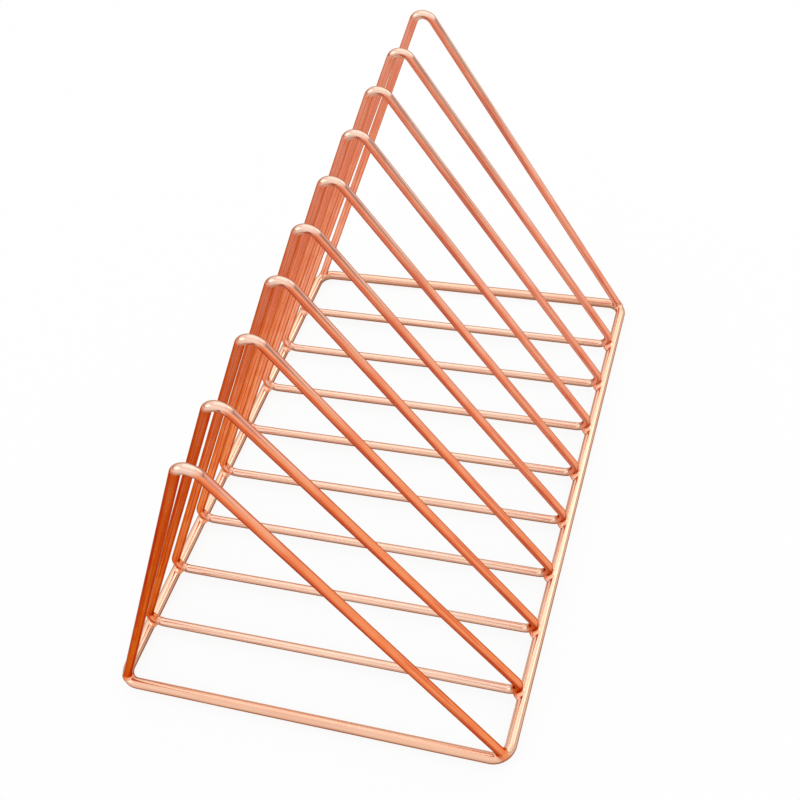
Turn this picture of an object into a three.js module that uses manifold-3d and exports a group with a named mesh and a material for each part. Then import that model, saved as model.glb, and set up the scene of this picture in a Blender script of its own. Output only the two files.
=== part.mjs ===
// Wire desk file organizer: ten triangular wire dividers on a rectangular rod frame, which leave
// nine slots for folders. Millimetres, +Z up. X runs across the frame and Y along it. The origin
// is on the desk, under the middle of the frame.
import * as THREE from 'three';
import { mergeVertices } from 'three/addons/utils/BufferGeometryUtils.js';
import Module from 'manifold-3d';

const wasm = await Module();
wasm.setup();

// Base frame: one round rod bent to a rectangle, measured on the rod's centre line.
const frameWidth = 180;
const frameLength = 266;
const frameRod = 5;
const frameBend = 7.5;

// Dividers: the thinner wire, its bends on the centre line, and the height of the crests.
const dividerWire = 4;
const apexBend = 5.2;
const footBend = 5.9;
const crestHeight = 182;
const slotCount = 9;

// The divider stations are spread evenly between these insets from the end bars' centre lines.
// The two end dividers stand a little further in, with their feet over the corner bends.
const stationInset = 1.6;
const endFootInset = 2;

// The base wires of the inner dividers lie this far above the rod's centre line.
const baseWireLift = 1.4;

// Clearance between pieces that are welded together.
const weldGap = 0.3;

// Weld beads: their radius, and how deep they reach under the surfaces that they join.
const beadRadius = 2.1;
const beadBite = 1.1;
const collarRadius = 3.1;

// Sides of a wire's section, and the largest turn between two sections in a bend.
const wireSides = 12;
const bendStep = THREE.MathUtils.degToRad(18);

const rodRadius = frameRod / 2;
const wireRadius = dividerWire / 2;
const railX = frameWidth / 2;
const barY = frameLength / 2;

const plating = new THREE.MeshStandardMaterial({
  name: 'rose_gold_plating', color: 0xd98a5e, roughness: 0.22, metalness: 1.0,
});

// Points along the arc round a centre from one angle to another, both ends included.
function arcPoints(centre, radius, from, to) {
  const steps = Math.max(2, Math.ceil(Math.abs(to - from) / bendStep));
  const points = [];
  for (let i = 0; i <= steps; i += 1) {
    const angle = from + ((to - from) * i) / steps;
    const along = new THREE.Vector2(-Math.sin(angle), Math.cos(angle));
    points.push({
      at: new THREE.Vector2(Math.cos(angle), Math.sin(angle)).multiplyScalar(radius).add(centre),
      along: along.multiplyScalar(Math.sign(to - from)),
    });
  }
  return points;
}

// A round wire swept along a flat path. The path's u and v axes are given in space. The sections
// are regular polygons with a flat on each side of the path's plane, measured across their flats.
function sweepWire(path, radius, closed, axisU, axisV) {
  const axisW = new THREE.Vector3().crossVectors(axisU, axisV);
  const corner = radius / Math.cos(Math.PI / wireSides);
  const positions = [];
  for (const { at, along } of path) {
    const centre = new THREE.Vector3().addScaledVector(axisU, at.x).addScaledVector(axisV, at.y);
    const side = new THREE.Vector3().addScaledVector(axisU, along.y).addScaledVector(axisV, -along.x);
    for (let k = 0; k < wireSides; k += 1) {
      const angle = ((k + 0.5) * 2 * Math.PI) / wireSides;
      const p = centre.clone()
        .addScaledVector(side, corner * Math.cos(angle))
        .addScaledVector(axisW, corner * Math.sin(angle));
      positions.push(p.x, p.y, p.z);
    }
  }
  const index = [];
  const spans = closed ? path.length : path.length - 1;
  for (let i = 0; i < spans; i += 1) {
    const here = i * wireSides;
    const next = ((i + 1) % path.length) * wireSides;
    for (let k = 0; k < wireSides; k += 1) {
      const l = (k + 1) % wireSides;
      index.push(here + k, next + k, next + l, here + k, next + l, here + l);
    }
  }
  if (!closed) {
    const last = (path.length - 1) * wireSides;
    for (let k = 1; k < wireSides - 1; k += 1) {
      index.push(0, k, k + 1, last, last + k + 1, last + k);
    }
  }
  const geometry = new THREE.BufferGeometry();
  geometry.setAttribute('position', new THREE.Float32BufferAttribute(positions, 3));
  geometry.setIndex(index);
  return geometry;
}

function toManifold(source) {
  const geometry = source.clone();
  geometry.deleteAttribute('normal');
  geometry.deleteAttribute('uv');
  const merged = mergeVertices(geometry, 1e-4);
  return new wasm.Manifold(new wasm.Mesh({
    numProp: 3,
    vertProperties: new Float32Array(merged.attributes.position.array),
    triVerts: new Uint32Array(merged.index.array),
  }));
}

function toGeometry(manifold) {
  const mesh = manifold.getMesh();
  const geometry = new THREE.BufferGeometry();
  geometry.setAttribute('position', new THREE.BufferAttribute(new Float32Array(mesh.vertProperties), 3));
  geometry.setIndex(new THREE.BufferAttribute(new Uint32Array(mesh.triVerts), 1));
  return geometry;
}

const axisX = new THREE.Vector3(1, 0, 0);
const axisY = new THREE.Vector3(0, 1, 0);
const axisZ = new THREE.Vector3(0, 0, 1);

// The frame's path is drawn in the XY plane, counter-clockwise from the front right bend.
function framePath() {
  const x = railX - frameBend;
  const y = barY - frameBend;
  const turn = Math.PI / 2;
  return [
    ...arcPoints(new THREE.Vector2(x, -y), frameBend, -turn, 0),
    ...arcPoints(new THREE.Vector2(x, y), frameBend, 0, turn),
    ...arcPoints(new THREE.Vector2(-x, y), frameBend, turn, 2 * turn),
    ...arcPoints(new THREE.Vector2(-x, -y), frameBend, 2 * turn, 3 * turn),
  ];
}

function frameRing(radius) {
  return sweepWire(framePath(), radius, true, axisX, axisY).translate(0, 0, rodRadius);
}

// Divider paths are drawn in the XZ plane, with heights above the rod's centre line.
const apexCentre = new THREE.Vector2(0, crestHeight - rodRadius - wireRadius - apexBend);

// An inner divider's lower bends rest on the upper inner flanks of the side rails.
const footReach = footBend + rodRadius + wireRadius + weldGap;
const footCentreZ = baseWireLift + footBend;
const footCentreX = railX - Math.sqrt(footReach ** 2 - footCentreZ ** 2);

// Direction of the leg that touches the foot bend and the apex bend on their outer sides.
function legNormalAngle(footX, footZ, footRadius) {
  const run = new THREE.Vector2(apexCentre.x - footX, apexCentre.y - footZ);
  const lean = Math.acos((footRadius - apexBend) / run.length());
  return run.angle() - lean;
}

function innerDividerPath() {
  const normal = legNormalAngle(footCentreX, footCentreZ, footBend);
  return [
    ...arcPoints(new THREE.Vector2(footCentreX, footCentreZ), footBend, -Math.PI / 2, normal),
    ...arcPoints(apexCentre, apexBend, normal, Math.PI - normal),
    ...arcPoints(new THREE.Vector2(-footCentreX, footCentreZ), footBend, Math.PI - normal, 1.5 * Math.PI),
  ];
}

// An end divider's legs aim at the top of the rod, above its centre line in the corner bend.
const bendShare = Math.max(0, frameBend - endFootInset);
const seatX = railX - frameBend + Math.sqrt(frameBend ** 2 - bendShare ** 2);
const seatNormal = legNormalAngle(seatX, rodRadius, 0);

function legPoint(height, side) {
  const slide = (height - rodRadius) / Math.cos(seatNormal);
  const at = new THREE.Vector2(seatX - slide * Math.sin(seatNormal), height);
  const along = new THREE.Vector2(-Math.sin(seatNormal), Math.cos(seatNormal));
  return side > 0 ? { at, along } : {
    at: new THREE.Vector2(-at.x, at.y),
    along: new THREE.Vector2(along.x, -along.y),
  };
}

function endDividerPath() {
  return [
    legPoint(0, 1),
    ...arcPoints(apexCentre, apexBend, seatNormal, Math.PI - seatNormal),
    legPoint(0, -1),
  ];
}

function dividerWireAt(path, radius, closed, y) {
  return sweepWire(path, radius, closed, axisX, axisZ).translate(0, y, rodRadius);
}

const frameClearance = toManifold(frameRing(rodRadius + weldGap));

const group = new THREE.Group();

function addPiece(name, geometry) {
  const mesh = new THREE.Mesh(geometry, plating.clone());
  mesh.name = name;
  group.add(mesh);
  return mesh;
}

function ball(radius, x, y, z) {
  return toManifold(new THREE.SphereGeometry(radius, 10, 7).translate(x, y, z));
}

addPiece('base_frame', frameRing(rodRadius));

// Inner dividers, each with a weld bead in the notch between its base wire and each rail.
const pitch = (frameLength - 2 * stationInset) / slotCount;
const innerPath = innerDividerPath();
const notch = rodRadius + weldGap + beadRadius - beadBite;
for (let i = 1; i < slotCount; i += 1) {
  const y = stationInset - barY + i * pitch;
  const label = String(i + 1).padStart(2, '0');
  addPiece(`divider_${label}`, dividerWireAt(innerPath, wireRadius, true, y));
  const wireClearance = toManifold(dividerWireAt(innerPath, wireRadius + weldGap, true, y));
  for (const [side, sign] of [['left', -1], ['right', 1]]) {
    const bead = ball(
      beadRadius,
      sign * (railX - notch),
      y - wireRadius - weldGap - beadRadius + beadBite,
      rodRadius + baseWireLift,
    ).subtract(frameClearance).subtract(wireClearance);
    addPiece(`weld_${side}_${label}`, toGeometry(bead));
  }
}

// End dividers: an inverted V whose feet are saddle cut to the frame's corner bends, each foot
// with a weld collar round it.
const endPath = endDividerPath();
for (const [end, sign] of [['front', -1], ['back', 1]]) {
  const y = sign * (barY - endFootInset);
  const wire = toManifold(dividerWireAt(endPath, wireRadius, false, y));
  addPiece(`end_divider_${end}`, toGeometry(wire.subtract(frameClearance)));
  const wireClearance = toManifold(dividerWireAt(endPath, wireRadius + weldGap, false, y));
  for (const [side, hand] of [['left', -1], ['right', 1]]) {
    const collar = ball(collarRadius, hand * seatX, y, frameRod + weldGap)
      .subtract(frameClearance)
      .subtract(wireClearance);
    addPiece(`weld_${end}_${side}_foot`, toGeometry(collar));
  }
}

export default group;
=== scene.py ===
"""Desk file organizer: plated wire dividers welded to a rectangular rod base.

Lengths are millimetres where wires and welds are shaped, and metres in each finished mesh, in
the finish and in the room.
"""

import math

import bpy
import numpy as np
from mathutils import Euler, Matrix, Vector


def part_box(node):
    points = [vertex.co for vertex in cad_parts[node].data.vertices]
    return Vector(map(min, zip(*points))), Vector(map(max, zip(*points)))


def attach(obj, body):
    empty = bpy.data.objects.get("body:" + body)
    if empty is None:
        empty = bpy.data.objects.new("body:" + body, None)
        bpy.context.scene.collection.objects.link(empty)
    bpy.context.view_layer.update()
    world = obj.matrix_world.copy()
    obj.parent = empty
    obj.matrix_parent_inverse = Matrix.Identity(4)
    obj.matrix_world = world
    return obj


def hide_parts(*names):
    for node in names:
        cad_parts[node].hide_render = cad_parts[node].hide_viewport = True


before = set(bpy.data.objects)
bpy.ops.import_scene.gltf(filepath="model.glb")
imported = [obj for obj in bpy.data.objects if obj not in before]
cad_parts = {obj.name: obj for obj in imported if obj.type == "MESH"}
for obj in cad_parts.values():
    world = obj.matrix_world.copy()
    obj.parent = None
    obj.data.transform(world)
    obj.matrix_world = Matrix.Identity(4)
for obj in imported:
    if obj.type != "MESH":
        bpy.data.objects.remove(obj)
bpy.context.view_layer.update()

TO_METRES = 0.001
TO_MILLIMETRES = 1000.0
X_AXIS, Y_AXIS, Z_AXIS = (1, 0, 0), (0, 1, 0), (0, 0, 1)

# Base frame, measured on the rod's centre line.
FRAME_WIDTH = 180.0
FRAME_LENGTH = 266.0
ROD_RADIUS = 2.5
FRAME_BEND = 7.5

# Dividers: the wire, its bends on the centre line, and the height of the crests.
WIRE_RADIUS = 2.0
APEX_BEND = 5.2
FOOT_BEND = 5.9
CREST_HEIGHT = 182.0

# How the pieces meet: the base wires lie a little above the rod's centre line, the feet of the end
# dividers stand in from the end bars, and a gap lies between metals that are welded together.
BASE_WIRE_LIFT = 1.4
END_FOOT_INSET = 2.0
WELD_GAP = 0.3

RAIL_X = FRAME_WIDTH / 2
BAR_Y = FRAME_LENGTH / 2
ROD_TOP = 2 * ROD_RADIUS
APEX_Z = CREST_HEIGHT - ROD_RADIUS - WIRE_RADIUS - APEX_BEND

# Labels of the inner dividers from the front to the back and of the end ones, and the sides' signs.
INNER = [f"{i:02d}" for i in range(2, 10)]
ENDS = ("front", "back")
SIDES = {"left": -1, "right": 1}

# How far each divider stands off true in the photograph, as hand-welded wire does: its right foot
# and its left foot to the back, then its crest to the right and to the back.
OFF_TRUE = {
    "front": (0.0, 0.0, 1.2, 1.1), "02": (-0.15, -0.3, 0.7, -1.6), "03": (0.4, -0.2, 0.3, -0.2),
    "04": (0.15, -0.2, -0.1, -0.1), "05": (0.55, -0.4, -0.4, -0.85), "06": (-0.1, -0.7, -0.2, -1.6),
    "07": (-0.3, -0.7, -0.3, -0.9), "08": (-0.35, -0.4, -0.25, -0.1), "09": (-1.1, -0.8, 0.8, -0.6),
    "back": (0.0, 0.0, 2.2, 1.0),
}

# Points along a wire: the turn between two in a bend, and the run between two where it is straight.
BEND_STEP = math.radians(3.0)
RUN_STEP = 3.0

# Points round a wire.
ROD_SECTION = 40
WIRE_SECTION = 32

# The ripple that drawing leaves on the wire: its depth, and for each of its sines the waves along
# the wire, the waves round it and its share of the phase.
RIPPLE_DEPTH = 0.014
RIPPLE_SINES = ((7, 2, 1.0), (13, -1, 1.7), (23, 3, 2.3))


# Wires

def arc(centre, radius, start, end):
    """Points and unit tangents at centre + radius (cos a, sin a), for a from start to end."""
    count = max(3, int(math.ceil(abs(end - start) / BEND_STEP)) + 1)
    angle = np.linspace(start, end, count)
    out = np.stack([np.cos(angle), np.sin(angle)], axis=1)
    ahead = np.stack([-out[:, 1], out[:, 0]], axis=1) * np.sign(end - start)
    return np.asarray(centre) + radius * out, ahead


def wire_path(arcs, closed):
    """Joins arcs by straight runs, and gives the points, their tangents and their lengths."""
    points, ahead = [], []
    for i, (bend, tangents) in enumerate(arcs):
        points.append(bend)
        ahead.append(tangents)
        if i + 1 == len(arcs) and not closed:
            continue
        run = arcs[(i + 1) % len(arcs)][0][0] - bend[-1]
        reach = np.linalg.norm(run)
        count = int(reach // RUN_STEP)
        share = (np.arange(1, count + 1) / (count + 1.0))[:, None]
        points.append(bend[-1] + run * share)
        ahead.append(np.repeat((run / reach)[None], count, axis=0))
    points, ahead = np.concatenate(points), np.concatenate(ahead)
    steps = np.linalg.norm(np.diff(points, axis=0), axis=1)
    return points, ahead, np.concatenate([[0.0], np.cumsum(steps)])


def swept_wire(path, radius, closed, axis_u, axis_v, section, seam, phase):
    """A round section carried along a flat path: rings of points, their lengths and their rise.

    A point is the path's point plus r (side cos a + w sin a), where side is the tangent turned
    outwards in the path's plane and w is the plane's normal. r is the radius less the drawing
    ripple, which is the mean of slow sines of the length and of a, brought to run from 0 to 1,
    times its depth. The angle a starts at the seam of the wire's own map. Rise is how steeply the
    wire runs there, from 0 to 1.
    """
    points, ahead, length = path
    u, v = np.asarray(axis_u, float), np.asarray(axis_v, float)
    w = np.cross(u, v)
    centre = points[:, :1] * u + points[:, 1:] * v
    side = ahead[:, 1:] * u - ahead[:, :1] * v
    angle = seam + np.arange(section) * (2 * np.pi / section)
    total = length[-1] + (np.linalg.norm(points[0] - points[-1]) if closed else 0.0)
    turns = 2 * np.pi * length[:, None] / total
    sines = sum(np.sin(along * turns + around * angle + share * phase)
                for along, around, share in RIPPLE_SINES)
    ripple = (sines + len(RIPPLE_SINES)) / (2 * len(RIPPLE_SINES))
    r = (radius - RIPPLE_DEPTH * ripple)[:, :, None]
    ring = centre[:, None] + r * (side[:, None] * np.cos(angle)[None, :, None]
                                  + w * np.sin(angle)[None, :, None])
    rise = np.abs(ahead @ np.stack([u, v])[:, 2])
    if closed:
        length = np.append(length, total)
    return ring, length, rise


def stand_off_true(ring, label):
    """Shears a divider: each foot moves along its rail, and the crest moves across and along.

    In between, a point takes the crest's move by its share of the height and the feet's by the
    rest, and the feet's move is shared out evenly from the left foot to the right one.
    """
    right_foot, left_foot, crest_x, crest_y = OFF_TRUE[label]
    share = np.clip((ring[:, :, 2] - ROD_TOP) / (CREST_HEIGHT - ROD_TOP), 0.0, 1.0)
    across = np.clip(ring[:, :, 0] / FRAME_WIDTH + 0.5, 0.0, 1.0)
    foot = left_foot + (right_foot - left_foot) * across
    ring[:, :, 0] += crest_x * share
    ring[:, :, 1] += crest_y * share + foot * (1.0 - share)
    return ring


def frame_arcs():
    """The four corner bends in plan, from the front right one round to the front left one."""
    x, y, quarter = RAIL_X - FRAME_BEND, BAR_Y - FRAME_BEND, math.pi / 2
    corners = [(x, -y), (x, y), (-x, y), (-x, -y)]
    return [arc(c, FRAME_BEND, (k - 1) * quarter, k * quarter) for k, c in enumerate(corners)]


def leg_normal(foot, foot_radius):
    """Angle of the normal of the leg that touches the foot bend and the apex bend outside."""
    run = (-foot[0], APEX_Z - foot[1])
    return math.atan2(run[1], run[0]) - math.acos((foot_radius - APEX_BEND) / math.hypot(*run))


# The paths of the dividers are flat, with heights above the rod's centre line. An inner divider's
# lower bends rest on the inner flanks of the rails, and an end divider's legs aim at the rod's top.
FOOT_REACH = FOOT_BEND + ROD_RADIUS + WIRE_RADIUS + WELD_GAP
FOOT_Z = BASE_WIRE_LIFT + FOOT_BEND
FOOT_X = RAIL_X - math.sqrt(FOOT_REACH ** 2 - FOOT_Z ** 2)
INNER_NORMAL = leg_normal((FOOT_X, FOOT_Z), FOOT_BEND)
BEND_SHARE = FRAME_BEND - END_FOOT_INSET
SEAT_X = RAIL_X - FRAME_BEND + math.sqrt(FRAME_BEND ** 2 - BEND_SHARE ** 2)
END_NORMAL = leg_normal((SEAT_X, ROD_RADIUS), 0.0)


def inner_arcs():
    """The lower right bend, the crest and the lower left bend of an inner divider."""
    n = INNER_NORMAL
    return [arc((FOOT_X, FOOT_Z), FOOT_BEND, -math.pi / 2, n),
            arc((0.0, APEX_Z), APEX_BEND, n, math.pi - n),
            arc((-FOOT_X, FOOT_Z), FOOT_BEND, math.pi - n, 1.5 * math.pi)]


def end_arcs(foot_height=1.2):
    """The feet and the crest of an end divider, whose legs end inside the rod.

    foot_height is their ends' height above the rod's centre line.
    """
    n = END_NORMAL
    slide = (foot_height - ROD_RADIUS) / math.cos(n)
    x = SEAT_X - slide * math.sin(n)
    up = np.array([[-math.sin(n), math.cos(n)]])
    down = up * [1, -1]
    return [(np.array([[x, foot_height]]), up),
            arc((0.0, APEX_Z), APEX_BEND, n, math.pi - n),
            (np.array([[-x, foot_height]]), down)]


# Welds

# Widths of the fillets: rail to wire, bead to both, and rod to an end divider's foot.
RAIL_FILLET = 2.4
BEAD_FILLET = 1.5
FOOT_FILLET = 1.9

# A weld's skin stands over the metal near the joint, and dives under it further out. Each dive is
# its start and its width, counted from the middle of the contact.
SKIN_HEIGHT = 0.06
SKIN_DIVE = 0.16
LUMP_HEIGHT = 0.05
RAIL_DIVE = (1.9, 1.7)
FOOT_DIVE = (1.8, 1.2)

# The skin's rings between its poles, the points in a ring, the depths at which it is looked for,
# the first of them and the furthest for each kind of weld.
SKIN_RINGS = 71
SKIN_SLICES = 96
SKIN_DEPTHS = 70
FIRST_DEPTH = 0.05
RAIL_WELD_REACH = 4.2
FOOT_WELD_REACH = 4.0

# The least distance that the furthest depth is given, so that it counts as outside.
JUST_OUTSIDE = 0.001

# Lumps of the weld metal, in radians to the millimetre along X, Y and Z.
LUMP_RATE = (1.9, 2.3, 2.1)

# The bead lies inward of the rail's contact, in front of the wire and a little below.
BEAD_RADIUS = 1.15
BEAD_INWARD = 0.75
BEAD_AHEAD = 0.3
BEAD_BELOW = 0.5

# The contact under an end divider's foot, below the rod's top, and the start of its straight leg.
SEAT_DEPTH = 0.2
LEG_START = -1.0

# The weld takes the frame's tone up to the first difference of the distances from the rod and
# from the wire, and the divider's tone from the second.
ROD_TONE_END = -1.4
WIRE_TONE_START = 1.0

# Heat tint: its even core round a contact, and the width of its fade.
HEAT_CORE = 2.2
HEAT_FADE = 2.0


def smooth_least(a, b, soft):
    """The lesser of a and b, with their crease filled by a quarter of soft where they meet."""
    h = np.clip(soft - np.abs(a - b), 0.0, None) / soft
    return np.minimum(a, b) - h * h * soft * 0.25


def frame_rod_gap(p):
    """Distance from the frame rod: the rounded rectangle's edge in plan, then the round section."""
    q = np.abs(p[..., :2]) - [RAIL_X - FRAME_BEND, BAR_Y - FRAME_BEND]
    flat = (np.linalg.norm(np.maximum(q, 0.0), axis=-1)
            + np.minimum(np.max(q, axis=-1), 0.0) - FRAME_BEND)
    return np.hypot(flat, p[..., 2] - ROD_RADIUS) - ROD_RADIUS


def lower_bend_gap(p, side, y):
    """Distance from an inner divider's wire round its lower bend.

    In the wire's plane the centre line is the edge of a wedge that is rounded by the bend, so its
    distance is the distance from the sharp wedge less the bend radius, without its sign.
    """
    q = p[..., 0] * side - FOOT_X
    z = p[..., 2] - ROD_RADIUS - FOOT_Z
    n = INNER_NORMAL
    below, beside = -z, q * math.cos(n) + z * math.sin(n)
    before = (q > 0) & (-q * math.sin(n) + z * math.cos(n) < 0)
    flat = np.where(before, np.hypot(q, z), np.maximum(below, beside)) - FOOT_BEND
    return np.hypot(flat, p[..., 1] - y) - WIRE_RADIUS


def end_leg_gap(p, side, y):
    """Distance from the straight leg of an end divider, from just below the rod's top upwards."""
    n = END_NORMAL
    q = np.stack([p[..., 0] * side - SEAT_X, p[..., 1] - y, p[..., 2] - ROD_TOP], axis=-1)
    up = np.array([-math.sin(n), 0.0, math.cos(n)])
    along = np.clip(q @ up, LEG_START, None)
    return np.linalg.norm(q - along[..., None] * up, axis=-1) - WIRE_RADIUS


def bead_gap(p, centre):
    """Distance from a round bead."""
    return np.linalg.norm(p - centre, axis=-1) - BEAD_RADIUS


def lumps(p, phase):
    """A slow uneven swell from -1 to 1: sines of the place, multiplied in pairs and added."""
    shifts = (phase, -phase, 2 * phase)
    x, y, z = (p[..., k] * LUMP_RATE[k] + shifts[k] for k in range(3))
    return (np.sin(x) * np.sin(y + 1.3) + np.sin(z + 0.7) * np.sin(1.4 * x - y)) * 0.5


def weld_cover(p, touch, phase, dive_start, dive_width):
    """How far the weld's skin stands over the wires: a thin uneven layer that dives under them."""
    away = np.linalg.norm(p - touch, axis=-1)
    dive = np.clip((away - dive_start) / dive_width, 0.0, 1.0)
    return SKIN_HEIGHT - SKIN_DIVE * dive * dive * (3 - 2 * dive) + LUMP_HEIGHT * lumps(p, phase)


def wire_share(from_rod, from_wire):
    """From 0 on the frame rod to 1 on the divider's wire: an even slope of the two distances."""
    return np.clip((from_rod - from_wire - ROD_TONE_END) / (WIRE_TONE_START - ROD_TONE_END), 0.0, 1.0)


def weld_skin(centre, axis, gap, reach):
    """The points of a closed skin round a weld, seen from its centre.

    Rings of directions run from one pole of the axis to the other. Along each direction the skin
    is where gap, a signed distance, first turns positive, found on a grid of depths and then by a
    straight line between the two depths round it. The furthest depth always counts as outside.
    """
    axis = np.asarray(axis, float) / np.linalg.norm(axis)
    across = np.cross(axis, Y_AXIS)
    across /= np.linalg.norm(across)
    third = np.cross(axis, across)
    polar = np.linspace(0.0, np.pi, SKIN_RINGS + 2)[1:-1]
    turn = np.arange(SKIN_SLICES) * (2 * np.pi / SKIN_SLICES)
    circle = np.cos(turn)[:, None] * across + np.sin(turn)[:, None] * third
    ways = np.sin(polar)[:, None, None] * circle + np.cos(polar)[:, None, None] * axis
    ways = np.concatenate([axis[None], ways.reshape(-1, 3), -axis[None]])
    depth = np.linspace(FIRST_DEPTH, reach, SKIN_DEPTHS)
    value = gap(centre + ways[:, None] * depth[None, :, None])
    value[:, -1] = np.maximum(value[:, -1], JUST_OUTSIDE)
    outer = np.argmax(value > 0, axis=1)
    inner = np.maximum(outer - 1, 0)
    row = np.arange(len(ways))
    a, b = value[row, inner], value[row, outer]
    share = np.where(outer > 0, -a / np.where(b - a == 0, 1.0, b - a), 0.0)
    r = depth[inner] + np.clip(share, 0.0, 1.0) * (depth[outer] - depth[inner])
    return centre + ways * r[:, None]


# Meshes

def mesh_object(name, verts, faces, rise):
    """A smooth mesh, in metres, that carries its wire's rise as an attribute."""
    mesh = bpy.data.meshes.new(name)
    mesh.from_pydata((verts * TO_METRES).tolist(), [], faces)
    layer = mesh.attributes.new("rise", "FLOAT", "POINT")
    layer.data.foreach_set("value", rise.astype(np.float32))
    mesh.polygons.foreach_set("use_smooth", np.ones(len(mesh.polygons), dtype=bool))
    mesh.update()
    obj = bpy.data.objects.new(name, mesh)
    bpy.context.scene.collection.objects.link(obj)
    return obj


def wire_object(name, ring, length, rise, radius, closed):
    """Quads between neighbouring rings, and a flat cap on each end of an open wire.

    The wire's own map holds the length round the section and the length along the wire, in
    metres. It is cut along the seam, and at the first ring of a closed wire.
    """
    count, section = ring.shape[:2]
    i = np.arange(count if closed else count - 1)[:, None]
    k = np.arange(section)[None, :]
    here, after, beside = i * section, ((i + 1) % count) * section, (k + 1) % section
    quads = np.stack([here + beside, here + k, after + k, after + beside], axis=2)
    faces = quads.reshape(-1, 4).tolist()
    around = np.arange(section + 1) * (2 * np.pi * radius / section)
    near, far = around[k] + 0 * i, around[k + 1] + 0 * i
    low, high = length[i] + 0 * k, length[i + 1] + 0 * k
    spread = np.stack([np.stack([far, low], 2), np.stack([near, low], 2),
                       np.stack([near, high], 2), np.stack([far, high], 2)], axis=2).reshape(-1, 2)
    if not closed:
        first, last = np.arange(section), np.arange(section) + (count - 1) * section
        faces += [first.tolist(), last[::-1].tolist()]
        caps = np.concatenate([np.stack([around[:-1], 0 * around[:-1]], 1),
                               np.stack([around[-2::-1], 0 * around[:-1] + length[-1]], 1)])
        spread = np.concatenate([spread, caps])
    obj = mesh_object(name, ring.reshape(-1, 3), faces, np.repeat(rise, section))
    layer = obj.data.uv_layers.new(name="WireLength")
    layer.data.foreach_set("uv", (spread * TO_METRES).astype(np.float32).ravel())
    return obj


def skin_object(name, verts, rise):
    """Quads between the rings of a weld's skin, and a fan of triangles round each pole."""
    i = np.arange(SKIN_RINGS - 1)[:, None]
    k = np.arange(SKIN_SLICES)
    beside = (k + 1) % SKIN_SLICES
    near, far = 1 + i * SKIN_SLICES, 1 + (i + 1) * SKIN_SLICES
    quads = np.stack([near + k, far + k, far + beside, near + beside], axis=2).reshape(-1, 4)
    last = 1 + (SKIN_RINGS - 1) * SKIN_SLICES
    top = np.stack([0 * k, 1 + k, 1 + beside], axis=1)
    foot = np.stack([0 * k + last + SKIN_SLICES, last + beside, last + k], axis=1)
    return mesh_object(name, verts, quads.tolist() + top.tolist() + foot.tolist(), rise)


def place(obj, material, slot, *nodes):
    """Hands a finished piece over: its finish, its body and the nodes it replaces. Its slot is not
    used.
    """
    obj.data.materials.append(material)
    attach(obj, "root")
    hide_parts(*nodes)


def middle(node_name):
    """The middle of a node's box, in millimetres."""
    low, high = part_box(node_name)
    return [(a + b) / 2 * TO_MILLIMETRES for a, b in zip(low, high)]


# Finish

# What a plating sets for itself, and then the tones that all of them share. A plating's own values
# replace the ones given here. The top and flank tones are lit and shaded copies of one plating,
# painted light and shade, and the pale tone is a painted highlight.
TONE_INPUTS = (
    ("Lying Top", "Color", (0.95, 0.68, 0.50, 1)), ("Lying Flank", "Color", (0.88, 0.44, 0.28, 1)),
    ("Rising Top", "Color", (0.95, 0.38, 0.18, 1)), ("Rising Flank", "Color", (0.85, 0.20, 0.07, 1)),
    ("Dullness", "Float", 0.18), ("Cloudiness", "Float", 0.4), ("Drawn Lines", "Float", 1.0),
    ("Rose", "Color", (0.92, 0.44, 0.31, 1)), ("Pale", "Color", (0.98, 0.70, 0.57, 1)),
    ("Streak", "Color", (0.76, 0.57, 0.60, 1)), ("Heated", "Color", (0.95, 0.37, 0.17, 1)),
)
TONE_OUTPUTS = (("Color", "Color"), ("Roughness", "Float"), ("Relief", "Float"))

# Tints that multiply the tone: painted shade under the right legs, in the short patches and in the
# clouds.
SHADE_TINT = (0.74, 0.55, 0.45, 1)
PATCH_TINT = (0.96, 0.66, 0.56, 1)
CLOUD_TINT = (0.98, 0.84, 0.74, 1)

# Where on the object the tone changes, in metres: from the front to the back, from the front to
# where the left legs have changed in full, from the middle out to the left, up from the right
# feet, up the top of the legs and over the crests.
FRONT_TO_BACK = (-0.13, 0.13)
LEFT_LEGS = (-0.13, 0.03)
LEFTWARD = (0.0, 0.06)
RIGHT_FEET = (0.0, 0.09)
UPPER_LEGS = (0.12, 0.178)
CRESTS = (0.168, 0.182)

# The side painted as lit, as by a light above and a little to the right, faces that way.
THIN_SIDE = (0.45, 0.0, 0.89)

# Cells of noise to the metre: in space, and then round the wire and along it.
CLOUDS = 48.0
PEEL = 420.0
SPECKS = 1300.0
LONG_STREAKS = (1000.0, 12.0)
SHORT_PATCHES = (260.0, 60.0)
DRAWN_LINES = (2600.0, 70.0)

# What all the platings have: the depth of their relief in metres, the tint of what they reflect at
# a grazing angle, and a thin clear lacquer.
RELIEF_DEPTH = 0.00002
GRAZING_TINT = (0.55, 0.26, 0.14, 1)
LACQUER = 0.03
LACQUER_ROUGHNESS = 0.06


def node(tree, kind, values=None, **settings):
    """Adds a node, with its settings, and links or sets each of its inputs."""
    made = tree.nodes.new(kind)
    for key, value in settings.items():
        setattr(made, key, value)
    for key, value in (values or {}).items():
        if isinstance(value, bpy.types.NodeSocket):
            tree.links.new(value, made.inputs[key])
        else:
            made.inputs[key].default_value = value
    return made


def blend(tree, share, a, b, kind="MIX"):
    """Colour a changed to b, or multiplied by b, by the share."""
    return node(tree, "ShaderNodeMix", {"Factor": share, "A": a, "B": b},
                data_type="RGBA", blend_type=kind).outputs["Result"]


def span(tree, value, low, high, first=0.0, last=1.0):
    """A smooth step from first to last, while the value goes from low to high."""
    ends = {"Value": value, "From Min": low, "From Max": high, "To Min": first, "To Max": last}
    return node(tree, "ShaderNodeMapRange", ends, interpolation_type="SMOOTHSTEP").outputs[0]


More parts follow.
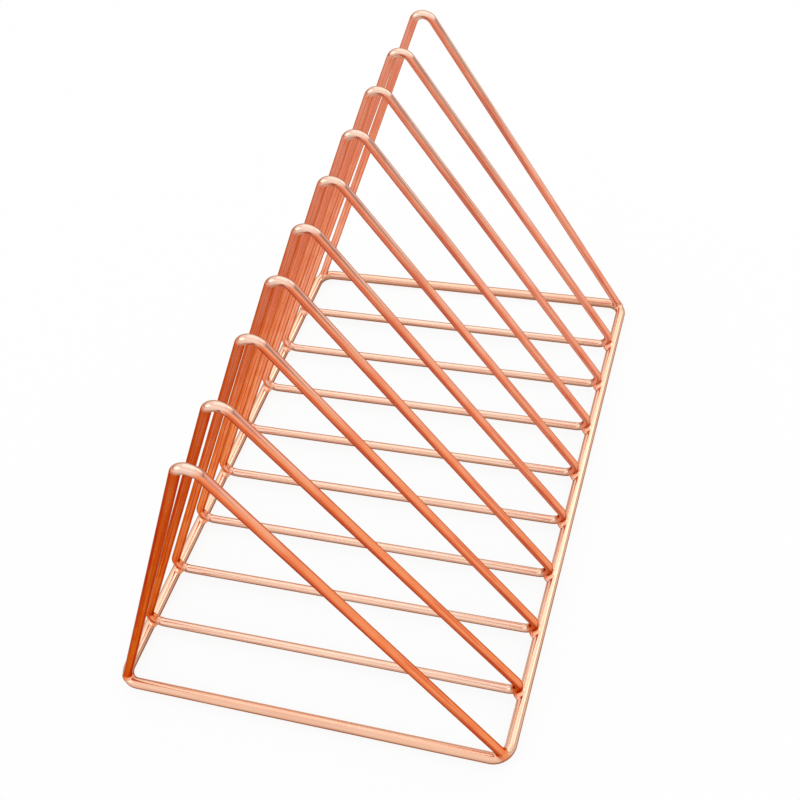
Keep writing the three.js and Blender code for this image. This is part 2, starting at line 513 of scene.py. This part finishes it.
def reckon(tree, kind, a, b, c=0.0):
    """A sum, a difference, a product, the greater of two, or a b + c."""
    return node(tree, "ShaderNodeMath", {0: a, 1: b, 2: c}, operation=kind).outputs[0]


def noise(tree, spot, scale, detail):
    """Noise from about 0 to 1, with scale cells to the unit of length."""
    values = {"Vector": spot, "Scale": scale, "Detail": detail}
    return node(tree, "ShaderNodeTexNoise", values).outputs["Fac"]


def wire_noise(tree, along, cells, detail):
    """Noise on the wire's own map, with its cells to the metre round the wire and along it."""
    stretched = node(tree, "ShaderNodeMapping", {"Vector": along, "Scale": (*cells, 1.0)}).outputs[0]
    return noise(tree, stretched, 1.0, detail)


def lying_tone(tree, given, upper, height):
    """Lying wire is painted light and shade: rose on top, brown on its flanks, pale on the crests."""
    tone = blend(tree, span(tree, upper, 0.0, 0.66), given["Lying Flank"], given["Lying Top"])
    return blend(tree, span(tree, height, *CRESTS, 0.0, 0.6), tone, given["Pale"])


def rising_tone(tree, given, thinner, left, right, place_on):
    """Wire that rises is deep copper, and turns rose towards the back, less so on the left.

    It is painted deeper underneath as shade, most of all on the right. On its painted lit side it
    has a pale painted highlight, more so high up and at the back.
    """
    tone = blend(tree, span(tree, thinner, 0.05, 0.5), given["Rising Flank"], given["Rising Top"])
    # Painted shade on the right legs, on the side away from the painted light.
    under_right = reckon(tree, "MULTIPLY", right, span(tree, thinner, 0.0, 0.5, 0.75, 0.0))
    tone = blend(tree, under_right, tone, SHADE_TINT, "MULTIPLY")
    rosier = reckon(tree, "MULTIPLY_ADD", left, -0.3, 1.0)
    rosier = reckon(tree, "MULTIPLY", rosier, span(tree, place_on["Y"], *FRONT_TO_BACK, 0.0, 0.56))
    tone = blend(tree, rosier, tone, given["Rose"])
    # A pale painted highlight on the painted lit side, more high up and at the back.
    worn_thin = reckon(tree, "ADD", span(tree, place_on["Z"], *UPPER_LEGS, 0.04, 0.65),
                       span(tree, place_on["Y"], *FRONT_TO_BACK, 0.0, 0.55))
    worn_thin = reckon(tree, "MULTIPLY", span(tree, thinner, 0.5, 0.85), worn_thin)
    return blend(tree, worn_thin, tone, given["Pale"])


def broken_tone(tree, given, tone, rise, along, cloud):
    """The tone broken by long streaks and short coral patches, most on steep wire, and by clouds."""
    streak = span(tree, wire_noise(tree, along, LONG_STREAKS, 2.0), 0.46, 0.66)
    streak = reckon(tree, "MULTIPLY", streak, span(tree, rise, 0.6, 0.9, 0.3, 0.85))
    tone = blend(tree, streak, tone, given["Streak"], "MULTIPLY")
    patch = span(tree, wire_noise(tree, along, SHORT_PATCHES, 2.0), 0.44, 0.6)
    patch = reckon(tree, "MULTIPLY", patch, span(tree, rise, 0.6, 0.9, 0.08, 0.5))
    tone = blend(tree, patch, tone, PATCH_TINT, "MULTIPLY")
    milky = reckon(tree, "MULTIPLY", span(tree, cloud, 0.35, 0.7), given["Cloudiness"])
    return blend(tree, milky, tone, CLOUD_TINT, "MULTIPLY")


def plated_tone_group():
    """The tone, roughness and relief of rose-gold plated wire.

    The attribute rise blends the tone of lying wire into that of rising wire, which differ by
    painted light and shade. How far a point is painted as lit goes by the way it faces, more on
    the left legs, the more so towards the back, less at the right feet, and more near a weld. The
    heat of a weld leaves the tone orange and the surface duller, and small specks are orange too.
    Drawn lines along the wire, the specks and a fine peel make the relief.
    """
    tree = bpy.data.node_groups.new("PlatedWireTone", "ShaderNodeTree")
    for name, kind, value in TONE_INPUTS:
        socket = tree.interface.new_socket(name=name, in_out="INPUT", socket_type=f"NodeSocket{kind}")
        socket.default_value = value
    for name, kind in TONE_OUTPUTS:
        tree.interface.new_socket(name=name, in_out="OUTPUT", socket_type=f"NodeSocket{kind}")
    given = node(tree, "NodeGroupInput").outputs
    spot = node(tree, "ShaderNodeTexCoord").outputs["Object"]
    place_on = node(tree, "ShaderNodeSeparateXYZ", {0: spot}).outputs
    outward = node(tree, "ShaderNodeNewGeometry").outputs["Normal"]
    upward = node(tree, "ShaderNodeSeparateXYZ", {0: outward}).outputs["Z"]
    thin_side = node(tree, "ShaderNodeVectorMath", {0: outward, 1: THIN_SIDE},
                     operation="DOT_PRODUCT").outputs["Value"]
    rise = node(tree, "ShaderNodeAttribute", attribute_name="rise").outputs["Fac"]
    heat = node(tree, "ShaderNodeAttribute", attribute_name="heat").outputs["Fac"]
    along = node(tree, "ShaderNodeUVMap", uv_map="WireLength").outputs[0]

    cloud = noise(tree, spot, CLOUDS, 3.0)
    drift = reckon(tree, "MULTIPLY_ADD", cloud, 0.24, -0.12)
    # Facing up, with a random drift: lying wire is painted lit where it faces up.
    upper = reckon(tree, "ADD", upward, drift)
    left = span(tree, reckon(tree, "MULTIPLY", place_on["X"], -1.0), *LEFTWARD)
    right = reckon(tree, "SUBTRACT", 1.0, left)
    left_more = span(tree, place_on["Y"], *LEFT_LEGS, 0.2, 0.62)
    right_foot = reckon(tree, "MULTIPLY", right, span(tree, place_on["Z"], *RIGHT_FEET, 1.0, 0.0))
    # How far a point is painted as lit: painted light and shade by the way it faces.
    thinner = reckon(tree, "ADD", thin_side, drift)
    thinner = reckon(tree, "MULTIPLY_ADD", left, left_more, thinner)
    thinner = reckon(tree, "MULTIPLY_ADD", right_foot, -0.2, thinner)
    thinner = reckon(tree, "MULTIPLY_ADD", heat, 0.4, thinner)

    lying = lying_tone(tree, given, upper, place_on["Z"])
    rising = rising_tone(tree, given, thinner, left, right, place_on)
    # Lying wire is painted pale on top and rising wire deeper: painted light and shade by steepness.
    tone = blend(tree, span(tree, rise, 0.35, 0.88), lying, rising)
    tone = broken_tone(tree, given, tone, rise, along, cloud)
    tone = blend(tree, reckon(tree, "MULTIPLY", heat, 0.4), tone, given["Heated"])
    speck = span(tree, noise(tree, spot, SPECKS, 1.0), 0.66, 0.76)
    tone = blend(tree, reckon(tree, "MULTIPLY", speck, 0.3), tone, given["Heated"])

    drawn = reckon(tree, "MULTIPLY", wire_noise(tree, along, DRAWN_LINES, 3.0), given["Drawn Lines"])
    dull = reckon(tree, "MULTIPLY_ADD", cloud, 0.10, -0.05)
    dull = reckon(tree, "ADD", reckon(tree, "MULTIPLY_ADD", drawn, 0.05, given["Dullness"]), dull)
    dull = reckon(tree, "MULTIPLY_ADD", heat, 0.12, dull)
    peel = reckon(tree, "MULTIPLY", noise(tree, spot, PEEL, 2.0), 1.4)
    relief = reckon(tree, "MULTIPLY_ADD", reckon(tree, "SUBTRACT", drawn, speck), 0.55, peel)
    node(tree, "NodeGroupOutput", {"Color": tone, "Roughness": dull, "Relief": relief})
    return tree


PLATED_TONE = plated_tone_group()


def plated(name, relief, **own_values):
    """A plated metal under a thin clear lacquer.

    Its own values go to the tone's inputs of the same words, so lying_top sets Lying Top.
    """
    material = bpy.data.materials.new(name)
    material.use_nodes = True
    tree = material.node_tree
    shader = next(made for made in tree.nodes if made.type == "BSDF_PRINCIPLED")
    tone = node(tree, "ShaderNodeGroup", node_tree=PLATED_TONE)
    for key, value in own_values.items():
        socket = tone.inputs[key.replace("_", " ").title()]
        socket.default_value = (*value, 1) if isinstance(value, tuple) else value
    bump = node(tree, "ShaderNodeBump",
                {"Height": tone.outputs["Relief"], "Strength": relief, "Distance": RELIEF_DEPTH})
    tree.links.new(tone.outputs["Color"], shader.inputs["Base Color"])
    tree.links.new(tone.outputs["Roughness"], shader.inputs["Roughness"])
    tree.links.new(bump.outputs[0], shader.inputs["Normal"])
    shader.inputs["Metallic"].default_value = 1.0
    shader.inputs["Specular Tint"].default_value = GRAZING_TINT
    shader.inputs["Coat Weight"].default_value = LACQUER
    shader.inputs["Coat Roughness"].default_value = LACQUER_ROUGHNESS
    return material


# Each plating's lit top and shaded flank tones are painted light and shade.
FRAME_PLATING = plated(
    "frame_plating", relief=0.28, dullness=0.13, cloudiness=0.16, drawn_lines=0.6,
    lying_top=(0.93, 0.60, 0.43), lying_flank=(0.36, 0.16, 0.085),
    rising_top=(0.90, 0.27, 0.10), rising_flank=(0.66, 0.16, 0.05))
WIRE_PLATING = plated(
    "wire_plating", relief=0.28, dullness=0.13, cloudiness=0.18, drawn_lines=0.7,
    lying_top=(0.96, 0.66, 0.50), lying_flank=(0.38, 0.17, 0.095),
    rising_top=(0.94, 0.29, 0.11), rising_flank=(0.76, 0.20, 0.095))
WELD_PLATING = plated(
    "weld_plating", relief=1.0, dullness=0.20, cloudiness=0.6, drawn_lines=0.0,
    lying_top=(0.95, 0.54, 0.37), lying_flank=(0.58, 0.26, 0.14),
    rising_top=(0.92, 0.32, 0.13), rising_flank=(0.84, 0.24, 0.09))


# Pieces

# How much the end bars take of rising wire's deeper tone rather than lying wire's painted pale top.
END_BAR_RISE = 0.46


def divider_node(label):
    """The node of the divider with this label."""
    return f"end_divider_{label}" if label in ENDS else f"divider_{label}"


def foot_y(label, side):
    """Where a divider's foot stands along the rail, with its share of standing off true."""
    right_foot, left_foot, _, _ = OFF_TRUE[label]
    return middle(divider_node(label))[1] + (right_foot if side > 0 else left_foot)


def rail_touch(label, side):
    """The middle of the contact between a rail and the lower bend of an inner divider."""
    out = np.array([RAIL_X - FOOT_X, -FOOT_Z]) / FOOT_REACH
    x, z = np.array([FOOT_X, FOOT_Z]) + out * (FOOT_BEND + WIRE_RADIUS + WELD_GAP / 2)
    return np.array([x * side, foot_y(label, side), z + ROD_RADIUS])


def seat_touch(end, side):
    """The middle of the contact between a corner bend and an end divider's foot."""
    return np.array([SEAT_X * side, foot_y(end, side), ROD_TOP - SEAT_DEPTH])


WELD_SPOTS = np.array([rail_touch(label, side) for label in INNER for side in SIDES.values()]
                      + [seat_touch(end, side) for end in ENDS for side in SIDES.values()])


def weld_heat(verts):
    """Heat tint from 0 to 1: even round the nearest weld, and then half a bell curve outwards."""
    away = np.min([np.linalg.norm(verts - spot, axis=1) for spot in WELD_SPOTS], axis=0)
    return np.exp(-(np.maximum(away - HEAT_CORE, 0.0) / HEAT_FADE) ** 2)


def add_heat(obj):
    """Writes the heat tint of each of a piece's vertices as an attribute."""
    verts = np.empty(len(obj.data.vertices) * 3, dtype=np.float32)
    obj.data.vertices.foreach_get("co", verts)
    layer = obj.data.attributes.new("heat", "FLOAT", "POINT")
    heat = weld_heat(verts.reshape(-1, 3) * TO_MILLIMETRES)
    layer.data.foreach_set("value", heat.astype(np.float32))
    return obj


def build_frame():
    """The base rod, bent round its four corners and closed."""
    path = wire_path(frame_arcs(), closed=True)
    _, ahead, _ = path
    ring, length, _ = swept_wire(path, ROD_RADIUS, True, X_AXIS, Y_AXIS,
                                 section=ROD_SECTION, seam=-math.pi / 2, phase=0.0)
    ring[:, :, 2] += ROD_RADIUS
    rise = END_BAR_RISE * np.abs(ahead[:, 0])
    rod = wire_object("base_rod", ring, length, rise, ROD_RADIUS, closed=True)
    place(add_heat(rod), FRAME_PLATING, "frame_plating", "base_frame")


def build_divider(label, arcs, closed, phase):
    """A divider's wire: a closed loop inside the frame, or the open one at an end."""
    node_name = divider_node(label)
    ring, length, rise = swept_wire(wire_path(arcs, closed), WIRE_RADIUS, closed, X_AXIS, Z_AXIS,
                                    section=WIRE_SECTION, seam=math.pi, phase=phase)
    ring[:, :, 1] += middle(node_name)[1]
    ring[:, :, 2] += ROD_RADIUS
    ring = stand_off_true(ring, label)
    wire = wire_object(f"{node_name}_wire", ring, length, rise, WIRE_RADIUS, closed)
    place(add_heat(wire), WIRE_PLATING, "wire_plating", node_name)


def add_weld(node_name, kind, verts, from_wire):
    """Meshes the skin of a weld, with the tones of the rod and of the wire that it joins."""
    rise = wire_share(frame_rod_gap(verts), from_wire(verts))
    weld = skin_object(f"{node_name}_{kind}", verts, rise)
    place(add_heat(weld), WELD_PLATING, "weld_plating", node_name)


def build_rail_weld(label, side_name, phase):
    """A fillet between the rail and the divider's lower bend, with a bead on the front side."""
    side = SIDES[side_name]
    touch = rail_touch(label, side)
    axis = ((RAIL_X - FOOT_X) * side, 0.0, -FOOT_Z)
    bead = touch + [-BEAD_INWARD * side, -WIRE_RADIUS - BEAD_AHEAD, -BEAD_BELOW]

    def from_wire(p):
        return lower_bend_gap(p, side, touch[1])

    def from_weld(p):
        metal = smooth_least(frame_rod_gap(p), from_wire(p), RAIL_FILLET)
        metal = smooth_least(metal, bead_gap(p, bead), BEAD_FILLET)
        return metal - weld_cover(p, touch, phase, *RAIL_DIVE)

    verts = weld_skin(touch, axis, from_weld, RAIL_WELD_REACH)
    add_weld(f"weld_{side_name}_{label}", "fillet", verts, from_wire)


def build_foot_weld(end, side_name, phase):
    """A collar of weld between an end divider's foot and the frame's corner bend."""
    side = SIDES[side_name]
    touch = seat_touch(end, side)

    def from_wire(p):
        return end_leg_gap(p, side, touch[1])

    def from_weld(p):
        metal = smooth_least(frame_rod_gap(p), from_wire(p), FOOT_FILLET)
        return metal - weld_cover(p, touch, phase, *FOOT_DIVE)

    verts = weld_skin(touch, Z_AXIS, from_weld, FOOT_WELD_REACH)
    add_weld(f"weld_{end}_{side_name}_foot", "collar", verts, from_wire)


# The phases only keep the ripples and the lumps of the pieces unlike each other.
build_frame()
for i, label in enumerate(INNER):
    build_divider(label, inner_arcs(), closed=True, phase=0.9 * i + 0.4)
    build_rail_weld(label, "left", phase=1.1 * i)
    build_rail_weld(label, "right", phase=1.3 * i + 2.0)
for i, end in enumerate(ENDS):
    build_divider(end, end_arcs(), closed=False, phase=5.1 * i + 2.2)
    build_foot_weld(end, "left", phase=1.9 * i + 0.6)
    build_foot_weld(end, "right", phase=1.7 * i + 1.1)


# Floor, light and camera

FLOOR_HALF = 6.0
FLOOR_Z = -0.0002
PAPER_WHITE = (0.85, 0.85, 0.85, 1)
LIGHT_WALL = (0.85, 0.85, 0.85, 1)
DARK_WALL = (0.28, 0.28, 0.28, 1)
CEILING = (1.0, 1.0, 1.0, 1)

# The photograph's view: where the camera stands, its turn about X, Y and Z in degrees, its lens
# for a sensor 36 mm wide, and the shift of the lens.
CAMERA_STAND = (0.18087, -0.30964, 0.46141)
CAMERA_TURN = (41.2716, 6.9850, 15.1166)
LENS = 51.81
SENSOR_WIDTH = 36.0
LENS_SHIFT = (-0.09, -0.027)
NEAREST_SEEN = 0.01


def fresh_tree(owner):
    """The emptied node tree of a material or a world."""
    owner.use_nodes = True
    owner.node_tree.nodes.clear()
    return owner.node_tree


def shown_share(tree, to_eye, to_metal):
    """The share of plain white that the camera sees, and the share that metal or glass shows."""
    rays = node(tree, "ShaderNodeLightPath").outputs
    passed_on = reckon(tree, "MAXIMUM", rays["Is Glossy Ray"], rays["Is Transmission Ray"])
    seen = reckon(tree, "MULTIPLY", rays["Is Camera Ray"], to_eye)
    return reckon(tree, "MULTIPLY_ADD", passed_on, to_metal, seen)


def build_floor():
    """A plain white table, far wider than the object, which keeps its shadow."""
    corners = [(x, y, FLOOR_Z) for x, y in ((-FLOOR_HALF, -FLOOR_HALF), (FLOOR_HALF, -FLOOR_HALF),
                                            (FLOOR_HALF, FLOOR_HALF), (-FLOOR_HALF, FLOOR_HALF))]
    mesh = bpy.data.meshes.new("floor")
    mesh.from_pydata(corners, [], [(0, 1, 2, 3)])
    floor = bpy.data.objects.new("floor", mesh)
    bpy.context.scene.collection.objects.link(floor)
    material = bpy.data.materials.new("floor_white")
    tree = fresh_tree(material)
    paper = node(tree, "ShaderNodeBsdfDiffuse", {"Color": PAPER_WHITE}).outputs[0]
    white = node(tree, "ShaderNodeEmission").outputs[0]
    mixed = node(tree, "ShaderNodeMixShader", {0: shown_share(tree, 0.9, 0.9), 1: paper, 2: white})
    node(tree, "ShaderNodeOutputMaterial", {0: mixed.outputs[0]})
    mesh.materials.append(material)


def build_world():
    """A white room: low down its walls are dark behind and beside the table, and light in front."""
    world = bpy.data.worlds.new("white_room")
    bpy.context.scene.world = world
    tree = fresh_tree(world)
    towards = node(tree, "ShaderNodeTexCoord").outputs["Generated"]
    way = node(tree, "ShaderNodeSeparateXYZ", {0: towards}).outputs
    wall = blend(tree, span(tree, way["Y"], -0.7, -0.2), LIGHT_WALL, DARK_WALL)
    room = blend(tree, span(tree, way["Z"], 0.0, 0.42), wall, CEILING)
    dome = node(tree, "ShaderNodeBackground", {"Color": room}).outputs[0]
    white = node(tree, "ShaderNodeBackground", {"Color": (1, 1, 1, 1)}).outputs[0]
    mixed = node(tree, "ShaderNodeMixShader", {0: shown_share(tree, 1.0, 0.25), 1: dome, 2: white})
    node(tree, "ShaderNodeOutputWorld", {0: mixed.outputs[0]})


def add_softbox(name, stand, aim, size, power):
    """A rectangular lamp that stands at a place and faces another, with its power in watts."""
    data = bpy.data.lights.new(name, "AREA")
    data.shape = "RECTANGLE"
    data.size, data.size_y = size
    data.energy = power
    lamp = bpy.data.objects.new(name, data)
    bpy.context.scene.collection.objects.link(lamp)
    lamp.location = stand
    lamp.rotation_mode = "QUATERNION"
    lamp.rotation_quaternion = (Vector(aim) - Vector(stand)).to_track_quat("-Z", "Y")


def build_camera():
    """The camera at the photograph's viewing angle."""
    data = bpy.data.cameras.new("camera")
    data.sensor_width = SENSOR_WIDTH
    data.lens = LENS
    data.shift_x, data.shift_y = LENS_SHIFT
    data.clip_start = NEAREST_SEEN
    camera = bpy.data.objects.new("camera", data)
    bpy.context.scene.collection.objects.link(camera)
    turn = Euler([math.radians(angle) for angle in CAMERA_TURN])
    camera.matrix_world = Matrix.Translation(CAMERA_STAND) @ turn.to_matrix().to_4x4()
    bpy.context.scene.camera = camera


build_floor()
build_world()
add_softbox("overhead", stand=(0.0, 0.5, 1.35), aim=(0.0, 0.0, 0.0), size=(1.6, 1.5), power=3.0)
add_softbox("window_right", stand=(1.2, 0.9, 0.9), aim=(0.0, 0.0, 0.05), size=(0.9, 0.9), power=2.2)
add_softbox("window_left", stand=(-1.3, -0.6, 0.8), aim=(0.0, 0.0, 0.05), size=(0.8, 0.8), power=1.6)
build_camera()
bpy.context.scene.view_settings.view_transform = "Standard"
